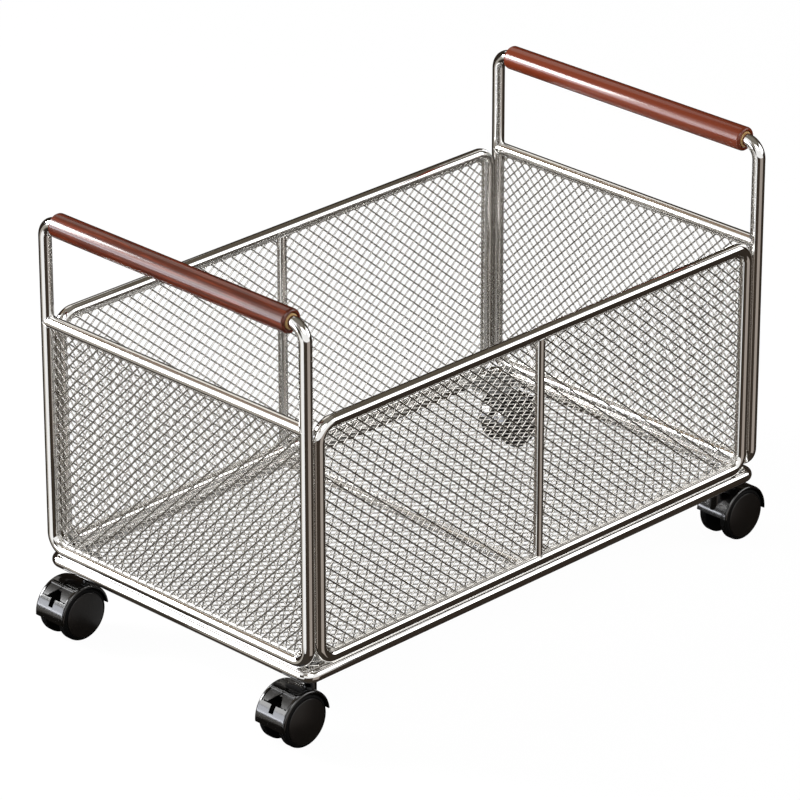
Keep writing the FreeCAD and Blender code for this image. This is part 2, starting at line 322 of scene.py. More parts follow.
def polished_stainless_tube():
    """Drawn stainless tube, buffed bright: a near mirror with faint hazy patches and ripple."""
    material, tree, shader, place = new_material("polished_stainless_tube", {
        "Base Color": hex_colour("#efeeec"), "Metallic": 1.0,
    })
    haze = add(tree, "ShaderNodeTexNoise", {
        "Vector": place, "Scale": 1 / tube_haze, "Detail": 4.0,
    })
    spread = add(tree, "ShaderNodeMapRange", {
        "Value": haze.outputs[0], "To Min": 0.04, "To Max": 0.08,
    })
    tree.links.new(spread.outputs[0], shader.inputs["Roughness"])
    ripple = add(tree, "ShaderNodeTexNoise", {
        "Vector": place, "Scale": 1 / tube_ripple, "Detail": 2.0,
    })
    bump = add(tree, "ShaderNodeBump", {
        "Height": ripple.outputs[0], "Strength": 0.02, "Distance": tube_ripple_depth,
    })
    tree.links.new(bump.outputs[0], shader.inputs["Normal"])
    return material


def drawn_steel_wire():
    """Drawn and electropolished steel wire: bright, a little softer than the tube."""
    material, tree, shader, place = new_material("drawn_steel_wire", {
        "Base Color": hex_colour("#dad8d4"), "Metallic": 1.0,
    })
    haze = add(tree, "ShaderNodeTexNoise", {
        "Vector": place, "Scale": 1 / wire_haze, "Detail": 3.0,
    })
    spread = add(tree, "ShaderNodeMapRange", {
        "Value": haze.outputs[0], "To Min": 0.05, "To Max": 0.12,
    })
    tree.links.new(spread.outputs[0], shader.inputs["Roughness"])
    return material


def zinc_plated_steel():
    """Zinc-plated steel: a bluish grey metal with a fine cloudy spangle."""
    material, tree, shader, place = new_material("zinc_plated_steel", {
        "Base Color": hex_colour("#b4b6b8"), "Metallic": 1.0,
    })
    spangle = add(tree, "ShaderNodeTexVoronoi", {"Vector": place, "Scale": 1 / zinc_spangle})
    spread = add(tree, "ShaderNodeMapRange", {
        "Value": spangle.outputs[0], "To Min": 0.28, "To Max": 0.42,
    })
    tree.links.new(spread.outputs[0], shader.inputs["Roughness"])
    return material


def lacquered_hardwood():
    """Turned hardwood, stained red-brown and lacquered: fine long grain under a clear gloss coat.

    The grip on the right is cut from a lighter billet than the one on the left.
    """
    material, tree, shader, place = new_material("lacquered_hardwood", {
        "Roughness": 0.5,
        "Specular IOR Level": 0.1,
        "Coat Weight": 1.0,
        "Coat Roughness": 0.16,
        "Coat IOR": 1.52,
    })
    along = add(tree, "ShaderNodeMapping", {"Vector": place, "Scale": (1.0, wood_stretch, 1.0)})
    streaks = add(tree, "ShaderNodeTexNoise", {
        "Vector": along.outputs[0], "Scale": 1 / wood_streak, "Detail": 6.0, "Roughness": 0.62,
    })
    pores = add(tree, "ShaderNodeTexNoise", {
        "Vector": along.outputs[0], "Scale": 1 / wood_pore, "Detail": 2.0,
    })
    side = add(tree, "ShaderNodeSeparateXYZ", {0: place})
    billet = add(tree, "ShaderNodeMapRange", {
        "Value": side.outputs[0],
        "From Min": -half_length, "From Max": half_length,
        "To Min": 0.40, "To Max": 0.66,
    })
    vessel = add(tree, "ShaderNodeMapRange", {
        "Value": pores.outputs[0],
        "From Min": 0.32, "From Max": 0.46,
        "To Min": -0.10, "To Max": 0.0,
    })
    tone = add(tree, "ShaderNodeMath", {
        0: streaks.outputs[0], 1: billet.outputs[0],
    }, operation="ADD")
    mixed = add(tree, "ShaderNodeMath", {
        0: tone.outputs[0], 1: vessel.outputs[0],
    }, operation="ADD")
    ramp = add(tree, "ShaderNodeValToRGB", {"Fac": mixed.outputs[0]})
    stops = ramp.color_ramp.elements
    stops[0].position = 0.62
    stops[0].color = hex_colour("#471808")
    stops[1].position = 1.0
    stops[1].color = hex_colour("#7e3216")
    stops.new(0.88).color = hex_colour("#5c210c")
    tree.links.new(ramp.outputs[0], shader.inputs["Base Color"])
    bump = add(tree, "ShaderNodeBump", {
        "Height": streaks.outputs[0], "Strength": 0.08, "Distance": wood_streak_depth,
    })
    tree.links.new(bump.outputs[0], shader.inputs["Normal"])
    return material


def bare_end_grain():
    """Unstained wood where the bore meets the bar: a pale golden ring with fine pores."""
    material, tree, shader, place = new_material("bare_end_grain", {"Roughness": 0.6})
    pores = add(tree, "ShaderNodeTexNoise", {
        "Vector": place, "Scale": 1 / end_pore, "Detail": 3.0,
    })
    ramp = add(tree, "ShaderNodeValToRGB", {"Fac": pores.outputs[0]})
    stops = ramp.color_ramp.elements
    stops[0].position = 0.3
    stops[0].color = hex_colour("#d09a55")
    stops[1].position = 0.65
    stops[1].color = hex_colour("#f6d298")
    tree.links.new(ramp.outputs[0], shader.inputs["Base Color"])
    return material


def moulded_plastic(name, colour, gloss, rough, grain, depth):
    """Moulded black plastic or rubber, with the fine grain of its mould."""
    material, tree, shader, place = new_material(name, {
        "Base Color": hex_colour(colour), "IOR": plastic_ior, "Specular IOR Level": gloss,
    })
    noise = add(tree, "ShaderNodeTexNoise", {"Vector": place, "Scale": 1 / grain, "Detail": 3.0})
    spread = add(tree, "ShaderNodeMapRange", {
        "Value": noise.outputs[0], "To Min": rough[0], "To Max": rough[1],
    })
    tree.links.new(spread.outputs[0], shader.inputs["Roughness"])
    bump = add(tree, "ShaderNodeBump", {
        "Height": noise.outputs[0], "Strength": 0.15, "Distance": depth,
    })
    tree.links.new(bump.outputs[0], shader.inputs["Normal"])
    return material


steel = polished_stainless_tube()
wire = drawn_steel_wire()
zinc = zinc_plated_steel()
wood = lacquered_hardwood()
bare_wood = bare_end_grain()

# The grain that a mould leaves is really 0.1 to 0.3 mm. It is drawn coarser here, so that it shows

# Hoods, from a polished mould: deep black that mirrors the studio in soft bright bands
gloss_black = moulded_plastic(
    "gloss_black_abs", "#060606", gloss=1.0, rough=(0.1, 0.18), grain=1.2 * MM, depth=0.01 * MM,
)
# Pedals, from an etched mould: a grainy grey sheen with no clear reflection
grained_black = moulded_plastic(
    "grained_black_abs", "#0c0c0c", gloss=0.6, rough=(0.3, 0.42), grain=1.0 * MM, depth=0.17 * MM,
)
# Tyres: dull black with hardly a highlight
rubber = moulded_plastic(
    "matt_black_rubber", "#060606", gloss=0.15, rough=(0.55, 0.7), grain=1.0 * MM, depth=0.05 * MM,
)
# Wheel caps: a warm black with a broad soft highlight
satin_black = moulded_plastic(
    "satin_black_nylon", "#110e0c", gloss=0.6, rough=(0.28, 0.4), grain=1.0 * MM, depth=0.04 * MM,
)


def finish_piece(name, mesh, material, body, nodes):
    """Make a finished mesh an object that rides on a body and stands for CAD nodes."""
    mesh.name = name
    mesh.materials.clear()
    mesh.materials.append(material)
    piece = bpy.data.objects.new(name, mesh)
    bpy.context.scene.collection.objects.link(piece)
    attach(piece, body)
    if nodes:
        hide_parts(*nodes)


def mesh_of(name, verts, faces):
    """A mesh with smooth faces and sharp edges, merged and with its normals outwards."""
    mesh = bpy.data.meshes.new(name)
    mesh.from_pydata([tuple(v) for v in verts], [], faces)
    work = bmesh.new()
    work.from_mesh(mesh)
    bmesh.ops.remove_doubles(work, verts=work.verts, dist=merge_gap)
    bmesh.ops.recalc_face_normals(work, faces=work.faces)
    for face in work.faces:
        face.smooth = True
    for edge in work.edges:
        if len(edge.link_faces) == 2 and edge.calc_face_angle() > math.radians(sharp_deg):
            edge.smooth = False
    work.to_mesh(mesh)
    work.free()
    return mesh


def joined(meshes):
    """Several meshes as one."""
    work = bmesh.new()
    for mesh in meshes:
        work.from_mesh(mesh)
    whole = bpy.data.meshes.new("joined")
    work.to_mesh(whole)
    work.free()
    return whole


def strip_faces(rows, columns, close_rows, close_columns):
    """Quads over a grid of vertices, rows by columns."""
    faces = []
    for i in range(rows if close_rows else rows - 1):
        for j in range(columns if close_columns else columns - 1):
            next_i = (i + 1) % rows
            next_j = (j + 1) % columns
            faces.append((
                i * columns + j,
                i * columns + next_j,
                next_i * columns + next_j,
                next_i * columns + j,
            ))
    return faces


def lathe(profile, axis, across, centre, sides):
    """A closed solid turned about an axis from (radius, height) points.

    The points start and end on the axis, or go round a closed ring.
    """
    up = axis.normalized()
    first = across.normalized()
    second = up.cross(first)
    ring = profile[0][0] > 0 or profile[-1][0] > 0
    verts = []
    for k in range(sides):
        turn = 2 * math.pi * k / sides
        out = first * math.cos(turn) + second * math.sin(turn)
        verts.extend(centre + out * r + up * h for r, h in profile)
    return mesh_of("lathe", verts, strip_faces(sides, len(profile), True, ring))


def drum(radius, half_w, centre, sides):
    """A plain cylinder that lies across the cart."""
    profile = [(0, -half_w), (radius, -half_w), (radius, half_w), (0, half_w)]
    return lathe(profile, Y_AXIS, X_AXIS, centre, sides)


def rounded(corner_r, corner_h, radius, start_deg, end_deg, steps=round_steps):
    """Points of a round edge, as (radius, height)."""
    points = []
    for k in range(steps + 1):
        turn = math.radians(start_deg + (end_deg - start_deg) * k / steps)
        points.append((corner_r + radius * math.cos(turn), corner_h + radius * math.sin(turn)))
    return points


def baked(tree, values, matrix):
    """The plain mesh that a geometry tree gives for its named values, put in place by a matrix."""
    holder = bpy.data.objects.new("holder", bpy.data.meshes.new("holder"))
    bpy.context.scene.collection.objects.link(holder)
    modifier = holder.modifiers.new("form", "NODES")
    modifier.node_group = tree
    for item in tree.interface.items_tree:
        if item.item_type == "SOCKET" and item.in_out == "INPUT":
            modifier[item.identifier] = values[item.name]
    bpy.context.view_layer.update()
    depsgraph = bpy.context.evaluated_depsgraph_get()
    mesh = bpy.data.meshes.new_from_object(holder.evaluated_get(depsgraph))
    holder.modifiers.remove(modifier)
    bpy.data.objects.remove(holder)
    mesh.transform(matrix)
    return mesh


def new_form(name, inputs):
    """An empty geometry tree with named inputs and one geometry output."""
    tree = bpy.data.node_groups.new(name, "GeometryNodeTree")
    for key, kind in inputs:
        tree.interface.new_socket(name=key, in_out="INPUT", socket_type=kind)
    tree.interface.new_socket(
        name="Geometry", in_out="OUTPUT", socket_type="NodeSocketGeometry",
    )
    return tree, add(tree, "NodeGroupInput").outputs, add(tree, "NodeGroupOutput")


def tube_loop_form():
    """A closed loop of round tube: a rectangle with filleted corners, swept by a circle."""
    tree, given, result = new_form("bent_tube_loop", [
        ("Width", "NodeSocketFloat"),
        ("Height", "NodeSocketFloat"),
        ("Bend", "NodeSocketFloat"),
        ("Tube radius", "NodeSocketFloat"),
    ])
    outline = add(tree, "GeometryNodeCurvePrimitiveQuadrilateral", {
        "Width": given["Width"], "Height": given["Height"],
    })
    bent = add(tree, "GeometryNodeFilletCurve", {
        "Curve": outline.outputs[0], "Radius": given["Bend"], "Count": bend_steps,
    }, mode="POLY")
    section = add(tree, "GeometryNodeCurvePrimitiveCircle", {
        "Resolution": tube_sides, "Radius": given["Tube radius"],
    })
    swept = add(tree, "GeometryNodeCurveToMesh", {
        "Curve": bent.outputs[0], "Profile Curve": section.outputs[0],
    })
    smooth = add(tree, "GeometryNodeSetShadeSmooth", {"Geometry": swept.outputs[0]})
    real = add(tree, "GeometryNodeRealizeInstances", {"Geometry": smooth.outputs[0]})
    painted = add(tree, "GeometryNodeSetMaterial", {
        "Geometry": real.outputs[0], "Material": steel,
    })
    tree.links.new(painted.outputs[0], result.inputs[0])
    return tree


def wire_panel_form():
    """Straight wires laid on the diagonal in two layers, in a thin border.

    One cell holds a rising and a falling wire. They cross in its middle and meet the wires of the
    next cells at its corners.
    """
    tree, given, result = new_form("welded_wire_panel", [
        ("Columns", "NodeSocketInt"),
        ("Rows", "NodeSocketInt"),
        ("Grid width", "NodeSocketFloat"),
        ("Grid height", "NodeSocketFloat"),
        ("Rising start", "NodeSocketVector"),
        ("Rising end", "NodeSocketVector"),
        ("Falling start", "NodeSocketVector"),
        ("Falling end", "NodeSocketVector"),
        ("Border width", "NodeSocketFloat"),
        ("Border height", "NodeSocketFloat"),
        ("Corner", "NodeSocketFloat"),
    ])
    section = add(tree, "GeometryNodeCurvePrimitiveCircle", {
        "Resolution": wire_sides, "Radius": wire_d / 2,
    })
    cell = add(tree, "GeometryNodeJoinGeometry")
    for run in ("Rising", "Falling"):
        line = add(tree, "GeometryNodeCurvePrimitiveLine", {
            "Start": given[run + " start"], "End": given[run + " end"],
        })
        strand = add(tree, "GeometryNodeCurveToMesh", {
            "Curve": line.outputs[0], "Profile Curve": section.outputs[0],
        })
        tree.links.new(strand.outputs[0], cell.inputs[0])
    grid = add(tree, "GeometryNodeMeshGrid", {
        "Size X": given["Grid width"],
        "Size Y": given["Grid height"],
        "Vertices X": given["Columns"],
        "Vertices Y": given["Rows"],
    })
    cells = add(tree, "GeometryNodeInstanceOnPoints", {
        "Points": grid.outputs[0], "Instance": cell.outputs[0],
    })
    real = add(tree, "GeometryNodeRealizeInstances", {"Geometry": cells.outputs[0]})
    welded = add(tree, "GeometryNodeMergeByDistance", {
        "Geometry": real.outputs[0], "Distance": wire_merge,
    })
    smooth = add(tree, "GeometryNodeSetShadeSmooth", {"Geometry": welded.outputs[0]})
    outline = add(tree, "GeometryNodeCurvePrimitiveQuadrilateral", {
        "Width": given["Border width"], "Height": given["Border height"],
    })
    turned = add(tree, "GeometryNodeFilletCurve", {
        "Curve": outline.outputs[0], "Radius": given["Corner"], "Count": strip_bend_steps,
    }, mode="POLY")
    flat = add(tree, "GeometryNodeCurvePrimitiveQuadrilateral", {
        "Width": strip_t, "Height": strip_w,
    })
    eased = add(tree, "GeometryNodeFilletCurve", {
        "Curve": flat.outputs[0], "Radius": strip_ease, "Count": strip_ease_steps,
    }, mode="POLY")
    strip = add(tree, "GeometryNodeCurveToMesh", {
        "Curve": turned.outputs[0], "Profile Curve": eased.outputs[0],
    })
    both = add(tree, "GeometryNodeJoinGeometry", {0: smooth.outputs[0]})
    tree.links.new(strip.outputs[0], both.inputs[0])
    solid = add(tree, "GeometryNodeRealizeInstances", {"Geometry": both.outputs[0]})
    painted = add(tree, "GeometryNodeSetMaterial", {
        "Geometry": solid.outputs[0], "Material": wire,
    })
    tree.links.new(painted.outputs[0], result.inputs[0])
    return tree


tube_loop = tube_loop_form()
wire_panel = wire_panel_form()


def placed(u, v, centre):
    """A matrix that puts a flat form's X along u and its Y along v."""
    turn = Matrix((u, v, u.cross(v))).transposed().to_4x4()
    return Matrix.Translation(centre) @ turn


def tube_frame(node, u, v, bend):
    """A bent loop of tube in place of a frame's node."""
    middle, half = middle_and_half(node)
    mesh = baked(tube_loop, {
        "Width": 2 * (abs(half.dot(u)) - tube_r),
        "Height": 2 * (abs(half.dot(v)) - tube_r),
        "Bend": bend,
        "Tube radius": tube_r,
    }, placed(u, v, middle))
    finish_piece(node + "_tube", mesh, steel, "cart", [node])


def mesh_panel(node, u, v, step_u, step_v, corner, lay):
    """A wire panel in place of a net's node.

    Lay is how far the falling wires stand before the panel's middle, and the rising ones behind it.
    """
    middle, half = middle_and_half(node)
    width = 2 * abs(half.dot(u))
    height = 2 * abs(half.dot(v))
    columns = round(width / step_u)
    rows = round(height / step_v)
    cell_w = (width + 2 * wire_tuck) / columns
    cell_h = (height + 2 * wire_tuck) / rows
    values = {
        "Columns": columns,
        "Rows": rows,
        "Grid width": cell_w * (columns - 1),
        "Grid height": cell_h * (rows - 1),
        "Border width": width - strip_w,
        "Border height": height - strip_w,
        "Corner": corner,
    }
    for run, rise in (("Rising", 1), ("Falling", -1)):
        values[run + " start"] = (-cell_w / 2, -rise * cell_h / 2, -rise * lay)
        values[run + " end"] = (cell_w / 2, rise * cell_h / 2, -rise * lay)
    mesh = baked(wire_panel, values, placed(u, v, middle))
    finish_piece(node + "_wires", mesh, wire, "cart", [node])


def coped_rod(node, start, end, radius, seat_axis):
    """A straight rod, coped at its ends to the tubes that it is welded to, with its weld beads."""
    along = (end - start).normalized()
    flat = seat_axis.normalized()
    cross = along.cross(flat)
    rings = {"start": [], "end": []}
    beads = {"start": [], "end": []}
    for k in range(tube_sides):
        turn = 2 * math.pi * k / tube_sides
        out = flat * math.cos(turn) + cross * math.sin(turn)
        reach = math.sqrt(max(tube_r ** 2 - (radius * math.sin(turn)) ** 2, 0))
        rings["start"].append(start + out * radius + along * reach)
        rings["end"].append(end + out * radius - along * reach)
        for which, sign in (("start", 1), ("end", -1)):
            for j in range(weld_sides):
                tilt = 2 * math.pi * j / weld_sides
                bulge = out * math.cos(tilt) + along * sign * math.sin(tilt)
                beads[which].append(rings[which][-1] + bulge * weld_r)
    rod_faces = strip_faces(2, tube_sides, False, True)
    bead_faces = strip_faces(tube_sides, weld_sides, True, True)
    meshes = [mesh_of("rod", rings["start"] + rings["end"], rod_faces)]
    meshes += [mesh_of("bead", beads[which], bead_faces) for which in ("start", "end")]
    finish_piece(node + "_rod", joined(meshes), steel, "cart", [node])


def build_frame():
    """The tubes of the base ring, the two ends and the two sides, and the rods between them."""
    tube_frame("base_ring", X_AXIS, Y_AXIS, ring_bend)
    near = Vector((0, -half_width, ring_z))
    far = Vector((0, half_width, ring_z))
    coped_rod("floor_crossbar", near, far, post_r, X_AXIS)
    for name, x in (("left", -half_length), ("right", half_length)):
        tube_frame("end_frame_" + name, Y_AXIS, Z_AXIS, frame_bend)
        near = Vector((x, -half_width, rail_z))
        far = Vector((x, half_width, rail_z))
        coped_rod("end_rail_" + name, near, far, tube_r, Z_AXIS)
    for name, y in (("near", -half_width), ("far", half_width)):
        tube_frame("side_frame_" + name, X_AXIS, Z_AXIS, frame_bend)
        foot = Vector((0, y, bar_z))
        head = Vector((0, y, rail_z))
        coped_rod("side_post_" + name, foot, head, post_r, X_AXIS)


def build_mesh():
    """The wire panels of the floor, the ends and the sides."""
    tight = strip_w / 2
    bent = frame_bend - tube_r - strip_w / 2
    for name in ("left", "right"):
        floor = "floor_mesh_" + name
        mesh_panel(floor, X_AXIS, Y_AXIS, diamond_x, diamond_y, tight, wire_layer)
        end = "end_mesh_" + name
        mesh_panel(end, Y_AXIS, Z_AXIS, diamond_y, diamond_z, bent, -wire_layer)
        for side in ("near", "far"):
            node = "side_mesh_" + side + "_" + name
            mesh_panel(node, X_AXIS, Z_AXIS, diamond_x, diamond_z, bent, wire_layer)


def build_grip(name):
    """A turned wooden sleeve with round ends, and a bare ring in each mouth round the bar."""
    node = "grip_" + name
    middle, half = middle_and_half(node)
    radius = half.z
    bore = tube_r + bore_play
    end = half.y
    half_profile = [
        (bore, 0),
        (bore, end - mouth_depth - mouth_taper),
        (mouth_r, end - mouth_depth),
        (mouth_r, end - mouth_edge),
        (mouth_r + mouth_edge, end),
    ]
    half_profile += rounded(
        radius - grip_round, end - grip_round, grip_round, 90, 0, grip_round_steps,
    )
    profile = half_profile + [(r, -h) for r, h in reversed(half_profile[1:])]
    mesh = lathe(profile, Y_AXIS, X_AXIS, middle, grip_sides)
    finish_piece(node + "_sleeve", mesh, wood, node, [node])

    ring_r = tube_r + end_ring_w
    section = [
        (bore, -mouth_depth),
        (bore, -end_ring_drop),
        (bore + end_ring_edge, -end_ring_sink),
        (ring_r - end_ring_edge, -end_ring_sink),
        (ring_r, -end_ring_drop),
        (ring_r, -mouth_depth),
    ]
    rings = []
    for side in (-1, 1):
        place = middle + Y_AXIS * side * end
        rings.append(lathe(section, Y_AXIS * side, X_AXIS, place, grip_sides))
    finish_piece(node + "_end_rings", joined(rings), bare_wood, node, [])


def tyre_profile(face, radius):
    """Half section of a tyre, from its inner face out over the tread to the seat of its cap."""
    profile = [(0, hub_sink), (hub_r, hub_sink), (hub_r, 0)]
    profile += rounded(radius - tread_edge, tread_edge, tread_edge, -90, 0)
    profile += rounded(
        radius - wheel_shoulder, face - wheel_shoulder, wheel_shoulder, 0, 90, shoulder_steps,
    )
    return profile + [(cap_r + cap_play, face - cap_seat), (0, face - cap_seat)]


def cap_profile(face, width):
    """Half section of a wheel's domed cap, from its seat out over its round edge to its middle."""
    profile = [(0, face - cap_seat), (cap_r, face - cap_seat)]
    profile += rounded(
        cap_r - cap_edge, face + cap_edge_rise, cap_edge, 0, cap_edge_deg, cap_edge_steps,
    )
    start_r, start_h = profile[-1]
    for k in range(1, cap_dome_steps + 1):
        share = 1 - k / cap_dome_steps
        profile.append((start_r * share, start_h + (width - start_h) * (1 - share ** 2)))
    return profile


def build_wheel(node):
    """One wheel: a rubber tyre with round edges, and a domed cap set in it in a fine groove."""
    middle, half = middle_and_half(node)
    outward = 1 if node.endswith("outer") else -1
    if "_near_" in node:
        outward = -outward
    axis = Y_AXIS * outward
    width = 2 * half.y
    face = width - cap_crown
    start = middle - axis * half.y
    tyre = lathe(tyre_profile(face, half.z), axis, X_AXIS, start, wheel_sides)
    finish_piece(node + "_tyre", tyre, rubber, node, [node])
    cap = lathe(cap_profile(face, width), axis, X_AXIS, start, wheel_sides)
    finish_piece(node + "_cap", cap, satin_black, node, [])


def on_hood(axle, ahead, radius, degrees, y):
    """A point round a caster's axle, by the hood's angles."""
    turn = math.radians(degrees)
    forward = X_AXIS * ahead * radius * math.cos(turn)
    upward = Z_AXIS * radius * math.sin(turn)
    return axle + forward + upward + Y_AXIS * y


def lever_window(outer_r):
    """The lines and openings of a brake's window in its hood: pin's eye, pad and slot."""
    start = lever_start_deg - math.degrees(lever_swing_gap / outer_r)
    end = lever_end_deg + math.degrees(lever_foot_gap / outer_r)
    pad_half_w = lever_half_w + lever_gap
    return {
        "angles": [eye_start_deg, eye_end_deg, start, end, slot_end_deg],
        "ys": [pad_half_w, slot_half_w, eye_half_w],
        "openings": [
            (eye_start_deg, eye_end_deg, eye_half_w),
            (start, end, pad_half_w),
            (end - slot_overlap_deg, slot_end_deg, slot_half_w),
        ],
    }


def fender(axle, ahead, inner_r, outer_r, half_w, window):
    """The hood's curved wall, with round outer edges and a brake's window left open."""
    span = hood_rear_deg - hood_front_deg
    angles = [hood_front_deg + span * k / hood_steps for k in range(hood_steps + 1)]
    ys = []
    for k in range(hood_edge_steps + 1):
        turn = math.radians(90 * k / hood_edge_steps)
        ys.append(half_w - hood_edge * (1 - math.sin(turn)))
    ys += [half_w * share for share in hood_line_shares]
    if window:
        marks = window["angles"]
        angles = [a for a in angles if min(abs(a - m) for m in marks) > hood_row_gap_deg] + marks
        ys += window["ys"]
    angles.sort()
    ys = sorted(set([-y for y in ys] + ys))

    def wall_r(y):
        over = max(abs(y) - (half_w - hood_edge), 0)
        return outer_r - hood_edge + math.sqrt(max(hood_edge ** 2 - over ** 2, 0))

    def open_at(a, y):
        return window and any(
            low < a < high and abs(y) < reach for low, high, reach in window["openings"]
        )

    columns = len(ys)
    outer = [on_hood(axle, ahead, wall_r(y), a, y) for a in angles for y in ys]
    inner = [on_hood(axle, ahead, inner_r, a, y) for a in angles for y in ys]
    solid = set()
    for i in range(len(angles) - 1):
        for j in range(columns - 1):
            if not open_at((angles[i] + angles[i + 1]) / 2, (ys[j] + ys[j + 1]) / 2):
                solid.add((i, j))
    faces = []
    shift = len(outer)
    for i, j in sorted(solid):
        here = i * columns + j
        corners = [here, here + 1, here + columns + 1, here + columns]
        faces.append(tuple(corners))
        faces.append(tuple(c + shift for c in reversed(corners)))
        for k, beside in enumerate([(i - 1, j), (i, j + 1), (i + 1, j), (i, j - 1)]):
            if beside not in solid:
                a, b = corners[k], corners[(k + 1) % 4]
                faces.append((b, a, a + shift, b + shift))
    return mesh_of("fender", outer + inner, faces)


def web_and_hub(axle, ahead, radius, recessed):
    """The wall between the two wheels, with the hub round the axle and room under a brake lever."""
    span = hood_rear_deg - hood_front_deg
    outline = [axle]
    for k in range(web_steps + 1):
        degrees = hood_front_deg + span * k / web_steps
        low = recessed and recess_start_deg < degrees < recess_end_deg
        outline.append(on_hood(axle, ahead, recess_r if low else radius, degrees, 0))
    verts = [p + Y_AXIS * side * web_half_w for side in (1, -1) for p in outline]
    count = len(outline)
    faces = [tuple(range(count)), tuple(range(2 * count - 1, count - 1, -1))]
    for k in range(count):
        after = (k + 1) % count
        faces.append((k, after, after + count, k + count))
    return [mesh_of("web", verts, faces), drum(hub_r, web_half_w, axle, hub_sides)]


def build_caster(name, side_x):
    """A caster's hood with its web and neck, its stem, and on a braked one its lever."""
    node = "caster_hood_" + name
    braked = side_x < 0
    ahead = -side_x
    axle = middle_and_half("caster_axle_" + name)[0]
    stem = middle_and_half("caster_stem_" + name)[0]
    low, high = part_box(node)
    half_w = (high.y - low.y) / 2
    outer_r = abs((low.x if side_x < 0 else high.x) - axle.x)
    inner_r = outer_r - hood_wall
    window = lever_window(outer_r) if braked else None
    meshes = [fender(axle, ahead, inner_r, outer_r, half_w, window)]
    meshes += web_and_hub(axle, ahead, inner_r - web_play, braked)
    neck = [(0, neck_foot), (neck_r, neck_foot)]
    neck += rounded(neck_r - neck_edge, high.z - neck_edge, neck_edge, 0, 90)
    neck += [(0, high.z)]
    meshes.append(lathe(neck, Z_AXIS, X_AXIS, Vector((stem.x, stem.y, 0)), neck_sides))
    body = "caster_" + name
    finish_piece(node + "_shell", joined(meshes), gloss_black, body, [node])
    build_stem(name)
    if braked:
        build_lever(name, axle, ahead, inner_r, outer_r)


def build_stem(name):
    """The caster's stem: its pin in the neck, its flange and the threaded end."""
    node = "caster_stem_" + name
    low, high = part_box(node)
    place = Vector(((low.x + high.x) / 2, (low.y + high.y) / 2, 0))
    flange_r = (high.x - low.x) / 2
    root_r = thread_r - thread_depth
    plate_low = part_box("corner_plate_" + name)[0].z
    flange_low = plate_low - flange_t
    profile = [
        (0, low.z),
        (stem_pin_r, low.z),
        (stem_pin_r, flange_low),
        (flange_r - flange_edge, flange_low),
        (flange_r, flange_low + flange_edge),
        (flange_r, plate_low),
        (thread_r, plate_low),
    ]
    height = plate_low
    while height + thread_pitch < high.z:
        profile.append((thread_r, height + thread_crest_share * thread_pitch))
        profile.append((root_r, height + thread_root_share * thread_pitch))
        height += thread_pitch
    profile += [(root_r, high.z), (0, high.z)]
    mesh = lathe(profile, Z_AXIS, X_AXIS, place, stem_sides)
    finish_piece(node + "_turned", mesh, zinc, "cart", [node])


def lever_pad(axle, ahead, inner_r, outer_r):
    """The pedal's curved pad: two wings with an arrow-shaped notch between, sunk behind a lip."""
    lip_span = lip_end_deg - lip_start_deg
    pad_span = lever_end_deg - lip_end_deg
    angles = [lever_start_deg, brow_deg, notch_start_deg]
    angles += [lip_start_deg + lip_span * k / lip_steps for k in range(lip_steps + 1)]
    angles += [lip_end_deg + pad_span * k / pad_steps for k in range(1, pad_steps + 1)]
    rows = len(angles)
    columns = pad_columns + 1
    verts = []
    for radius, sink in ((outer_r, pad_sink), (inner_r, 0)):
        for side in (-1, 1):
            for degrees in angles:
                lip = min(max((degrees - lip_start_deg) / lip_span, 0), 1)
                rise = max(degrees - lip_end_deg, 0) / pad_span
                flat = radius - sink * lip ** 2 * (1 - rise ** 2)
                opened = max(degrees - notch_start_deg, 0) / (lever_end_deg - notch_start_deg)
                for j in range(columns):
                    share = j / pad_columns
                    y = side * (notch_half_w * opened * (1 - share) + lever_half_w * share)
                    verts.append(on_hood(axle, ahead, flat, degrees, y))

    # The outer and inner face of each wing, and then the rim between them
    step = rows * columns
    sheet = strip_faces(rows, columns, False, False)
    faces = [tuple(c + block * step for c in face) for block in range(4) for face in sheet]
    notch_row = sum(a < notch_start_deg for a in angles)
    border = [i * columns + pad_columns for i in range(rows)]
    border += [(rows - 1) * columns + j for j in range(pad_columns - 1, -1, -1)]
    border += [i * columns for i in range(rows - 2, notch_row - 2, -1)]
    front = list(range(columns))
    for wing in (0, 1):
        above = wing * step
        below = (wing + 2) * step
        for line in (border, front):
            for a, b in zip(line, line[1:]):
                faces.append((a + above, b + above, b + below, a + below))
    return mesh_of("pad", verts, faces)


def lever_arm(axle, ahead, top_r, foot_r):
    """The arm under the pad, down to the knuckle on the pin."""
    span = arm_end_deg - lever_start_deg
    verts = []
    for y in (-arm_half_w, arm_half_w):
        for radius in (top_r, foot_r):
            for i in range(arm_steps + 1):
                degrees = lever_start_deg + span * i / arm_steps
                verts.append(on_hood(axle, ahead, radius, degrees, y))

    # The arm's four long edges, in their order round it
    count = arm_steps + 1
    order = [0, 1, 3, 2]
    faces = []
    for i in range(arm_steps):
        for a, b in zip(order, order[1:] + order[:1]):
            faces.append((a * count + i, b * count + i, b * count + i + 1, a * count + i + 1))
    for i in (0, arm_steps):
        faces.append(tuple(a * count + i for a in order))
    return mesh_of("arm", verts, faces)


def build_lever(name, axle, ahead, inner_r, outer_r):
    """The brake pedal: its pad, and the arm and knuckle that go to its pin."""
    node = "brake_lever_" + name
    pin = middle_and_half("brake_pin_" + name)[0]
    foot_r = (pin - axle).length - knuckle_r * knuckle_overlap_share
    meshes = [
        lever_pad(axle, ahead, inner_r, outer_r),
        lever_arm(axle, ahead, inner_r + arm_overlap, foot_r),
        drum(knuckle_r, arm_half_w, pin, knuckle_sides),
    ]
    finish_piece(node + "_pedal", joined(meshes), grained_black, node, [node])


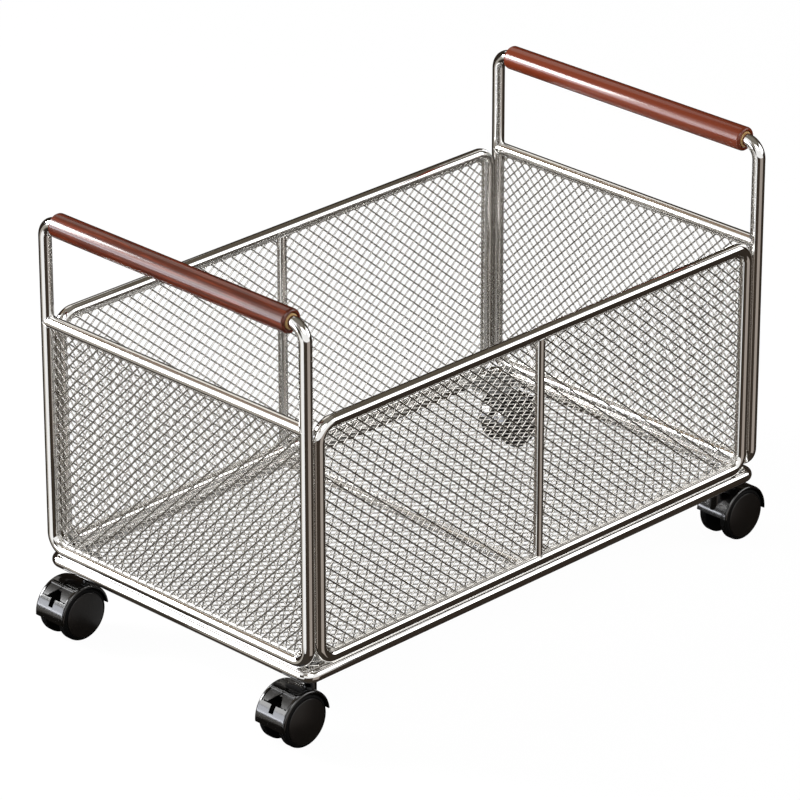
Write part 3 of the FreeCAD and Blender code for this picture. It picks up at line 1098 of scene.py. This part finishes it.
def dress_small_parts():
    """The hidden steel pieces keep their solids and take a zinc finish."""
    for node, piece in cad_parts.items():
        if node == "weld_nuts" or node.startswith(("corner_plate_", "caster_axle_", "brake_pin_")):
            for holder in piece.material_slots:
                holder.material = zinc


def build_camera():
    """The camera at the photograph's viewing angle."""
    back = Vector((
        math.sin(camera_azimuth) * math.cos(camera_elevation),
        -math.cos(camera_azimuth) * math.cos(camera_elevation),
        math.sin(camera_elevation),
    ))
    right = Vector((math.cos(camera_azimuth), math.sin(camera_azimuth), 0))
    up = back.cross(right)
    place = back * camera_distance + right * camera_aside + up * camera_raise
    place += Z_AXIS * camera_height
    data = bpy.data.cameras.new("camera")
    data.lens = camera_lens
    data.sensor_width = camera_sensor
    data.clip_end = camera_clip_end
    camera = bpy.data.objects.new("camera", data)
    turn = Matrix((right, up, back)).transposed().to_4x4()
    camera.matrix_world = Matrix.Translation(place) @ turn
    bpy.context.scene.collection.objects.link(camera)
    bpy.context.scene.camera = camera


def toward(azimuth, elevation):
    """A direction by degrees to the right of the camera and above the floor."""
    front = Vector((math.sin(camera_azimuth), -math.cos(camera_azimuth), 0))
    right = Vector((math.cos(camera_azimuth), math.sin(camera_azimuth), 0))
    a = math.radians(azimuth)
    e = math.radians(elevation)
    return (front * math.cos(a) + right * math.sin(a)) * math.cos(e) + Z_AXIS * math.sin(e)


def seen_directly(tree):
    """One where a camera, glossy or transmission ray looks, and zero for the light itself."""
    path = add(tree, "ShaderNodeLightPath")
    some = add(tree, "ShaderNodeMath", {
        0: path.outputs["Is Camera Ray"], 1: path.outputs["Is Glossy Ray"],
    }, operation="MAXIMUM")
    return add(tree, "ShaderNodeMath", {
        0: some.outputs[0], 1: path.outputs["Is Transmission Ray"],
    }, operation="MAXIMUM").outputs[0]


def stage_object(name, verts, faces):
    """A plain mesh of the studio."""
    mesh = bpy.data.meshes.new(name)
    mesh.from_pydata([tuple(v) for v in verts], [], faces)
    made = bpy.data.objects.new(name, mesh)
    bpy.context.scene.collection.objects.link(made)
    return made


def flat_object(name, centre, length, width):
    """A flat rectangle of the studio, level and along the cart."""
    signs = ((-1, -1), (1, -1), (1, 1), (-1, 1))
    corners = [centre + X_AXIS * a * length / 2 + Y_AXIS * b * width / 2 for a, b in signs]
    return stage_object(name, corners, [(0, 1, 2, 3)])


def finish_card(card, colour, strength=1.0):
    """Give a studio card its glow, and let it show in glossy reflections and nowhere else."""
    material = bpy.data.materials.new(card.name)
    material.use_nodes = True
    material.cycles.emission_sampling = "NONE"
    tree = material.node_tree
    tree.nodes.clear()
    glow = add(tree, "ShaderNodeEmission", {"Color": hex_colour(colour), "Strength": strength})
    add(tree, "ShaderNodeOutputMaterial", {"Surface": glow.outputs[0]})
    card.data.materials.append(material)
    card.visible_camera = False
    card.visible_diffuse = False
    card.visible_transmission = False
    card.visible_volume_scatter = False
    card.visible_shadow = False


def curved_card(name, azimuths, elevations, colour, strength):
    """A card that curves round the cart.

    Dark ones keep bright metal from going white all over. Bright ones put bands on black plastic.
    """
    verts = []
    for i in range(card_rows + 1):
        elevation = elevations[0] + (elevations[1] - elevations[0]) * i / card_rows
        for j in range(card_columns + 1):
            azimuth = azimuths[0] + (azimuths[1] - azimuths[0]) * j / card_columns
            verts.append(Z_AXIS * card_height + toward(azimuth, elevation) * card_distance)
    faces = strip_faces(card_rows + 1, card_columns + 1, False, False)
    finish_card(stage_object(name, verts, faces), colour, strength)


def lamp(name, azimuth, elevation, distance, forward, aim, long_side, length, width, brightness):
    """A soft box aimed at a point over the cart's middle."""
    place = toward(azimuth, elevation) * distance + toward(0, 0) * forward
    back = (place - Z_AXIS * aim).normalized()
    long_axis = toward(long_side, 0)
    along = (long_axis - back * long_axis.dot(back)).normalized()
    data = bpy.data.lights.new(name, "AREA")
    data.shape = "RECTANGLE"
    data.size = length
    data.size_y = width
    data.energy = brightness * math.pi * length * width
    made = bpy.data.objects.new(name, data)
    turn = Matrix((along, back.cross(along), back)).transposed().to_4x4()
    made.matrix_world = Matrix.Translation(place) @ turn
    bpy.context.scene.collection.objects.link(made)


def build_world():
    """A world that is white where it is looked at, and a dimmer light on the cart."""
    world = bpy.data.worlds.new("studio")
    bpy.context.scene.world = world
    world.use_nodes = True
    tree = world.node_tree
    tree.nodes.clear()
    ambient = add(tree, "ShaderNodeBackground", {
        "Color": hex_colour("#f6f6f8"), "Strength": world_light,
    })
    white = add(tree, "ShaderNodeBackground", {"Color": hex_colour("#ffffff"), "Strength": 1.0})
    mix = add(tree, "ShaderNodeMixShader", {
        0: seen_directly(tree), 1: ambient.outputs[0], 2: white.outputs[0],
    })
    add(tree, "ShaderNodeOutputWorld", {"Surface": mix.outputs[0]})


def build_floor():
    """A white floor that keeps a faint shadow, and throws less light back up at the cart."""
    floor = flat_object("floor", Vector((0, 0, -floor_drop)), floor_size, floor_size)
    material = bpy.data.materials.new("white_floor")
    material.use_nodes = True
    tree = material.node_tree
    tree.nodes.clear()
    direct = seen_directly(tree)
    coat = add(tree, "ShaderNodeMix", {
        "Factor": direct, "A": hex_colour("#9a9a9a"), "B": hex_colour("#f4f4f4"),
    }, data_type="RGBA")
    paint = add(tree, "ShaderNodeBsdfDiffuse", {"Color": coat.outputs["Result"]})
    glow = add(tree, "ShaderNodeEmission", {
        "Color": hex_colour("#ffffff"), "Strength": floor_glow,
    })
    share = add(tree, "ShaderNodeMath", {0: direct, 1: floor_glow_share}, operation="MULTIPLY")
    mix = add(tree, "ShaderNodeMixShader", {
        0: share.outputs[0], 1: paint.outputs[0], 2: glow.outputs[0],
    })
    add(tree, "ShaderNodeOutputMaterial", {"Surface": mix.outputs[0]})
    floor.data.materials.append(material)
    floor.visible_glossy = False


def build_cards():
    """The cards that only reflections see: round the cart, and painted shadow beside each caster
    and under it.
    """
    for card in STUDIO_CARDS:
        curved_card(*card)
    for name, _ in CORNERS:
        axle = middle_and_half("caster_axle_" + name)[0]
        place = Vector((axle.x - caster_shadow_card_aside, axle.y, -caster_shadow_card_drop))
        card = flat_object("shadow_card_by_" + name, place, caster_shadow_card_length, caster_shadow_card_width)
        # Painted shadow: a dark sheet by each caster, where the cart shades the floor, seen only in
        # reflections
        finish_card(card, "#38332d")
    place = Vector((0, under_shade_card_back, -under_shade_card_drop))
    card = flat_object("shade_card_under_cart", place, under_shade_card_length, under_shade_card_width)
    # Painted shade: a grey sheet under the cart, where the floor lies in the cart's shade, seen
    # only in reflections
    finish_card(card, "#8c8b8a")


def build_studio():
    """A white floor and backdrop, cards for the reflections, and soft lamps."""
    bpy.context.scene.view_settings.view_transform = "Standard"
    build_world()
    build_floor()
    build_cards()
    for name, setting in LAMPS.items():
        lamp(name, **setting)


build_frame()
build_mesh()
build_grip("left")
build_grip("right")
for corner_name, corner_x in CORNERS:
    build_caster(corner_name, corner_x)
    for which in ("outer", "inner"):
        build_wheel("wheel_" + corner_name + "_" + which)
dress_small_parts()
build_camera()
build_studio()
